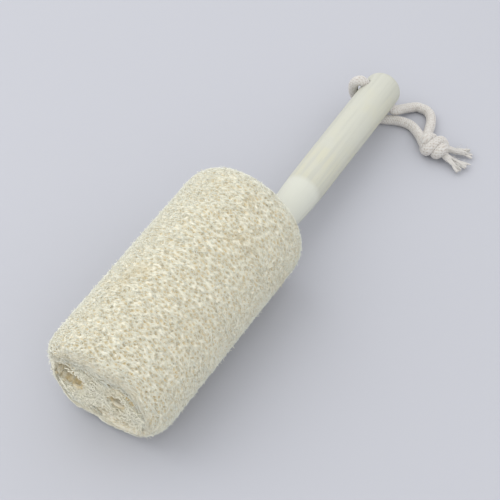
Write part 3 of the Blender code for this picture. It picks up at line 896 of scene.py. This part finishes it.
# ---- cord ------------------------------------------------------------------------------------
def smooth_line(route, spacing):
    """Even points on a Catmull-Rom curve through the route."""
    ends = [2 * route[0] - route[1]] + route + [2 * route[-1] - route[-2]]
    fine = []
    for a, b, c, d in zip(ends, ends[1:], ends[2:], ends[3:]):
        for i in range(16):
            t = i / 16
            fine.append(0.5 * (2 * b + (c - a) * t + (2 * a - 5 * b + 4 * c - d) * t ** 2
                               + (3 * b - a - 3 * c + d) * t ** 3))
    fine = np.array([*fine, route[-1]], float)
    walked = np.concatenate([[0], np.cumsum(np.linalg.norm(np.diff(fine, axis=0), axis=1))])
    at = np.linspace(0, walked[-1], max(4, round(walked[-1] / spacing) + 1))
    return np.stack([np.interp(at, walked, fine[:, k]) for k in range(3)], axis=1)


def placed(route):
    """A route's points in the frame, each at the middle of the cord."""
    lifted = ROUTE_START + Vector((0, 0, CORD_DIAMETER / 2))
    return [lifted + Vector(point) for point in route]


def hole_centre(out):
    """A point on the cord hole's axis, `out` from the handle's axis towards its +Y mouth."""
    return HOLE_CENTRE + HANDLE_TURN.to_matrix() @ HOLE_TURN @ Vector((0, 0, out))


def in_knot(points):
    """Points given along the knot, to its side and up, in millimetres from its middle."""
    along = Vector((math.cos(KNOT_TURN), math.sin(KNOT_TURN), 0))
    side = Vector((-along.y, along.x, 0))
    return [KNOT_CENTRE + (along * a + side * b + Vector((0, 0, 1)) * c) * 0.001
            for a, b, c in points]


def knot_route(phase, lean):
    """One strand's way through the overhand knot: in along its middle, round outside everything
    and back, and out along the middle again."""
    route = [(-5.0, 2.0 * lean + 0.8, 0.0), (0.0, 1.2 * lean, 0.8), (4.2, 1.4 * lean, 0.6)]
    turns, steps = 0.92, 10
    for i in range(steps + 1):
        share = i / steps
        turn = phase + math.tau * turns * share
        route.append((6.2 - 11.6 * share, 4.6 * math.cos(turn), 3.25 * math.sin(turn)))
    route += [(-4.2, 0.4 * lean, -0.6), (0.4, -0.6 * lean, -0.8)]
    return in_knot(route)


def tube_frames(line):
    """The line's direction at each point, and two directions across it that don't twist."""
    along = np.gradient(line, axis=0)
    along /= np.linalg.norm(along, axis=1, keepdims=True)
    side = np.empty_like(line)
    first = np.cross(along[0], (0.31, 0.52, 0.8))
    side[0] = first / np.linalg.norm(first)
    for i in range(1, len(line)):
        kept = side[i - 1] - along[i] * (side[i - 1] @ along[i])
        side[i] = kept / np.linalg.norm(kept)
    return along, side, np.cross(along, side)


def rings_round(line, sides):
    """Directions out from each point of the line to its ring, and the turn of each."""
    _, side, up = tube_frames(line)
    turn = np.arange(sides) / sides * math.tau
    ring = side[:, None] * np.cos(turn)[None, :, None] + up[:, None] * np.sin(turn)[None, :, None]
    return ring, turn[None, :]


def tube_faces(count, sides, first=0):
    """The walls and the two ends of a tube of `count` rings, whose points start at `first`."""
    a = first + np.arange(count - 1)[:, None] * sides + np.arange(sides)[None, :]
    b = first + np.arange(count - 1)[:, None] * sides + (np.arange(sides) + 1)[None, :] % sides
    walls = np.stack([a, b, b + sides, a + sides], axis=2).reshape(-1, 4)
    last = first + (count - 1) * sides
    return [*walls.tolist(), list(range(first, first + sides))[::-1],
            list(range(last, last + sides))]


def rope_mesh(name, line, radii, seed):
    """A closed tube round the line whose surface is plaited from yarns that lean each way."""
    ring, turn = rings_round(line, ROPE_SIDES)
    walked = np.concatenate([[0], np.cumsum(np.linalg.norm(np.diff(line, axis=0), axis=1))])
    pitch = CORD_DIAMETER * 2.1
    one = np.cos(ROPE_YARNS * turn / 2 + math.tau * walked[:, None] / pitch * ROPE_YARNS / 2)
    two = np.cos(ROPE_YARNS * turn / 2 - math.tau * walked[:, None] / pitch * ROPE_YARNS / 2)
    relief = np.maximum(np.abs(one), np.abs(two)) ** 1.5
    base = line[:, None] + ring * radii[:, None, None]
    rough = ripple(base.reshape(-1, 3), (900, 900, 900), seed).reshape(relief.shape)
    size = radii[:, None] * (1 + 0.11 * (relief - 0.75)) + ROPE_FUZZ * rough
    points = (line[:, None] + ring * size[..., None]).reshape(-1, 3)
    points[:, 2] = np.maximum(points[:, 2], CORD_FLOOR)
    piece = mesh_piece(name, points, tube_faces(len(line), ROPE_SIDES))
    # painted shade: this mask darkens the cord in the grooves between its yarns
    paint(piece, "groove_shade", np.clip(1 - relief.ravel() - 0.25 * rough.ravel(), 0, 1))
    return piece


def cotton_look(settings):
    """Soft undyed cotton, with painted shade that makes it brownish in the grooves between the
    yarns, and a few tan seed flecks.
    """
    look, tree, shader, place = start_material("undyed_cotton", 0.9, 0.2)
    colour = blend_colours(tree, mottle(tree, place, 170.0, 0.35, 0.7), settings.cotton,
                           darker(settings.cotton, 0.94))
    # painted shade: darker and browner in the grooves between the yarns
    colour = blend_colours(tree, attribute(tree, "groove_shade"), colour,
                           [a * b for a, b in zip(settings.cotton, (0.60, 0.52, 0.46))])
    colour = blend_colours(tree, mottle(tree, place, 900.0, 0.70, 0.76), colour,
                           (0.55, 0.38, 0.22))
    tree.links.new(colour, shader.inputs["Base Color"])
    tree.links.new(fluff(tree, place, 2200.0, 0.5, 0.0003), shader.inputs["Normal"])
    shader.inputs["Sheen Weight"].default_value = 0.25
    return look


def build_strand(name, route, settings, seed):
    """A strand of the cord, which is slimmer at its ends and fuller in the knot, and its line."""
    line = smooth_line(route, 0.00045)
    radii = np.full(len(line), settings.strand / 2)
    radii[-3:] *= (0.9, 0.7, 0.45)
    radii[:2] *= (0.8, 0.95)
    to_knot = np.linalg.norm(line - np.array(KNOT_CENTRE), axis=1)
    radii *= np.interp(to_knot, (0.008, 0.013), (1.08, 1.0))
    return rope_mesh(name, line, radii, seed), line


def frayed_tail(start, route, spread, random, settings):
    """The lines and radii of one tail's unlaid yarns, which fan out over the table."""
    line = smooth_line([start] + placed(route), 0.001)
    along, _, _ = tube_frames(line)
    flat = np.cross(along, (0, 0, 1.0))
    flat /= np.linalg.norm(flat, axis=1, keepdims=True)
    walk = np.linspace(0, 1, len(line))
    lines, radii = [], []
    for i in range(settings.yarns):
        angle = math.tau * i / settings.yarns * 1.62
        near = 0.0023 * math.sqrt((i + 0.5) / settings.yarns)
        place = np.array([near * math.cos(angle), near * math.sin(angle)])
        fan = spread[0] + (spread[1] - spread[0]) * (i + random.uniform(0, 1)) / settings.yarns
        long = random.uniform(0.80, 1.0)
        keep = walk <= long
        wave = 0.0005 * np.sin(math.tau * walk * random.uniform(1.0, 2.2) + random.uniform(0, 6))
        across = place[0] * (1 - walk ** 2) + fan * walk ** 2 + wave * walk
        high = place[1] * (1 - 0.6 * walk) + 0.0006 * np.sin(walk * random.uniform(3, 7)) * walk
        yarn = line + flat * across[:, None] + np.array([0, 0, 1.0]) * high[:, None]
        yarn[:, 2] = np.maximum(yarn[:, 2], 0.0008)
        lines.append(yarn[keep])
        radii.append(random.uniform(0.00060, 0.00090))
    return lines, radii


def yarn_piece(name, lines, radii, random):
    """The yarns of a tail in one mesh. Each is a few twisted plies and thins out at its end."""
    points, faces, groove_shades = [], [], []
    total = 0
    for line, radius in zip(lines, radii):
        line = smooth_line([Vector(p) for p in line[::3]] + [Vector(line[-1])], YARN_STEP)
        ring, turn = rings_round(line, YARN_SIDES)
        walked = np.arange(len(line)) * YARN_STEP
        relief = np.abs(np.cos(1.5 * turn + walked[:, None] * 1400))
        size = radius * (0.82 + 0.26 * relief)
        size[-4:] *= np.array([0.95, 0.85, 0.7, 0.5])[:, None]
        tube = (line[:, None] + ring * size[..., None]).reshape(-1, 3)
        faces += tube_faces(len(line), YARN_SIDES, total)
        points.append(tube)
        # painted shade in the twist grooves of each yarn
        groove_shades.append(np.clip(0.9 - relief.ravel(), 0, 1) * 0.7)
        total += len(tube)
    points = np.concatenate(points)
    points[:, 2] = np.maximum(points[:, 2], CORD_FLOOR)
    piece = mesh_piece(name, points, faces)
    paint(piece, "groove_shade", np.concatenate(groove_shades))
    return piece


def loose_fibres(name, lines, random, count):
    """Hair-fine cotton fibres that stand off the yarns, most of them at their ends."""
    length = 7
    chosen = random.integers(0, len(lines), count)
    paths = []
    for index in chosen:
        line = lines[index]
        at = int((len(line) - 2) * random.uniform(0.25, 1.0) ** 0.5)
        aim = line[at + 1] - line[at]
        aim = aim / np.linalg.norm(aim) + random.normal(0, 0.45, 3)
        aim /= np.linalg.norm(aim)
        bend = random.normal(0, 1, 3)
        walk = np.linspace(0, random.uniform(0.0015, 0.0042), length)[:, None]
        paths.append(line[at] + aim * walk + bend * 60 * walk ** 2)
    paths = np.array(paths)
    paths[..., 2] = np.maximum(paths[..., 2], 0.0003)
    ups = np.tile(np.array([0.1, 0.2, 1.0]), (count, length, 1))
    radii = random.uniform(0.00006, 0.00011, count)
    piece = fibre_mesh(name, paths, ups, radii, np.zeros(count))
    # the loose fibres get no painted shade
    paint(piece, "groove_shade", np.zeros(len(piece.data.vertices)))
    return piece


class BuildCord(bpy.types.Operator):
    """Build the hanging cord: two strands through one knot, with frayed tails"""

    bl_idname = "scrubber.cord"
    bl_label = "Hanging cord"

    def execute(self, context):
        settings = context.scene.scrubber_cord
        random = np.random.default_rng(11)
        look = cotton_look(settings)
        out = [hole_centre(-0.0070), hole_centre(-0.0140)]
        upper = [hole_centre(0)] + out + placed(HELD_UPPER[::-1] + UPPER_FREE)
        lower = [hole_centre(0), hole_centre(0.0065), hole_centre(HOLE_MOUTH)]
        lower += placed(HELD_LOWER + LOWER_FREE)
        jobs = (
            ("upper", upper, math.radians(-60), 1, UPPER_TAIL, (-0.0040, 0.0036), out[1],
             ("cord_strand_upper", "cord_knot"), "cord_tail_upper"),
            ("lower", lower, math.radians(120), -1, LOWER_TAIL, (-0.0105, 0.0024), lower[2],
             ("cord_through_handle", "cord_strand_lower"), "cord_tail_lower"),
        )
        for side, route, phase, lean, tail, spread, mouth, stood_for, tail_node in jobs:
            knot = knot_route(phase, lean)
            route = route + knot + placed(tail[:1])
            strand, line = build_strand("cord_" + side, route, settings, 4.0 + lean)
            lines, radii = frayed_tail(knot[-1], tail, spread, random, settings)
            yarns = yarn_piece("tail_yarns_" + side, lines, radii, random)
            hairs = loose_fibres("tail_fibres_" + side, lines, random, 160)
            for piece in (strand, yarns, hairs):
                finish_piece(piece, look)
            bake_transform(strand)
            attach(yarns, "hanging_loop")
            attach(hairs, "hanging_loop")
            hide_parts(*stood_for)
            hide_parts(tail_node)
        return {"FINISHED"}


# ---- stage -----------------------------------------------------------------------------------
def area_light(name, place, size, power, colour):
    """A round soft light, aimed at the middle of the object."""
    data = bpy.data.lights.new(name, "AREA")
    data.shape = "DISK"
    data.size = size
    data.energy = power
    data.color = colour
    light = bpy.data.objects.new(name, data)
    bpy.context.scene.collection.objects.link(light)
    light.location = place
    light.rotation_euler = (-Vector(place)).to_track_quat("-Z", "Y").to_euler()


def build_camera(scene):
    data = bpy.data.cameras.new("camera")
    data.lens, data.sensor_width = CAMERA_LENS, 36.0
    data.clip_start, data.clip_end = 0.01, 20.0
    camera = bpy.data.objects.new("camera", data)
    scene.collection.objects.link(camera)
    camera.location = CAMERA_PLACE
    camera.rotation_euler = (CAMERA_TILT, 0, CAMERA_SWING)
    scene.camera = camera


class BuildStage(bpy.types.Operator):
    """Add the floor, the lights and the camera"""

    bl_idname = "scrubber.stage"
    bl_label = "Stage"

    def execute(self, context):
        settings = context.scene.scrubber_stage
        pick_none()
        bpy.ops.mesh.primitive_plane_add(size=24, location=(0, 0, 0))
        floor = context.object
        floor.name = "floor"
        look, tree, shader, place = start_material("plain_floor", 0.85, 0.2)
        colour = blend_colours(tree, mottle(tree, place, 3.0, 0.3, 0.7), settings.floor,
                               darker(settings.floor, 0.985))
        tree.links.new(colour, shader.inputs["Base Color"])
        floor.data.materials.append(look)
        area_light("key", (-0.15, 0.75, 1.05), 1.5, settings.key * 2.4, (1.0, 0.99, 0.975))
        area_light("fill", (-0.9, -0.7, 0.8), 1.0, settings.key * 0.5, (0.95, 0.97, 1.0))
        world = bpy.data.worlds.new("soft_room")
        world.use_nodes = True
        world.node_tree.nodes["Background"].inputs["Color"].default_value = (0.98, 0.98, 0.99, 1)
        world.node_tree.nodes["Background"].inputs["Strength"].default_value = settings.sky
        context.scene.world = world
        build_camera(context.scene)
        context.scene.view_settings.view_transform = "Standard"
        return {"FINISHED"}


class ScrubberPanel(bpy.types.Panel):
    """The scrubber's builders and their settings"""

    bl_idname = "VIEW3D_PT_scrubber"
    bl_label = "Loofah back scrubber"
    bl_space_type = "VIEW_3D"
    bl_region_type = "UI"
    bl_category = "Scrubber"

    def draw(self, context):
        rows = (
            ("scrubber.cord", "scrubber_cord", ("strand", "cotton", "yarns")),
            ("scrubber.handle", "scrubber_handle", ("wood", "neck", "sides")),
            ("scrubber.loofah", "scrubber_loofah",
             ("seed", "fibre_radius", "layer_count", "pale", "tan")),
            ("scrubber.stage", "scrubber_stage", ("floor", "key", "sky")),
        )
        for operator, group, names in rows:
            box = self.layout.box()
            box.operator(operator)
            for name in names:
                box.prop(getattr(context.scene, group), name)


SETTINGS = {
    "scrubber_loofah": LoofahSettings,
    "scrubber_handle": HandleSettings,
    "scrubber_cord": CordSettings,
    "scrubber_stage": StageSettings,
}
CLASSES = (*SETTINGS.values(), BuildLoofah, BuildHandle, BuildCord, BuildStage, ScrubberPanel)


def register():
    for kind in CLASSES:
        bpy.utils.register_class(kind)
    for name, kind in SETTINGS.items():
        setattr(bpy.types.Scene, name, PointerProperty(type=kind))


def unregister():
    for name in SETTINGS:
        delattr(bpy.types.Scene, name)
    for kind in reversed(CLASSES):
        bpy.utils.unregister_class(kind)


def main():
    register()
    bpy.ops.scrubber.stage()
    bpy.ops.scrubber.cord()
    bpy.ops.scrubber.handle()
    bpy.ops.scrubber.loofah()
    pick_none()


if __name__ == "__main__":
    main()
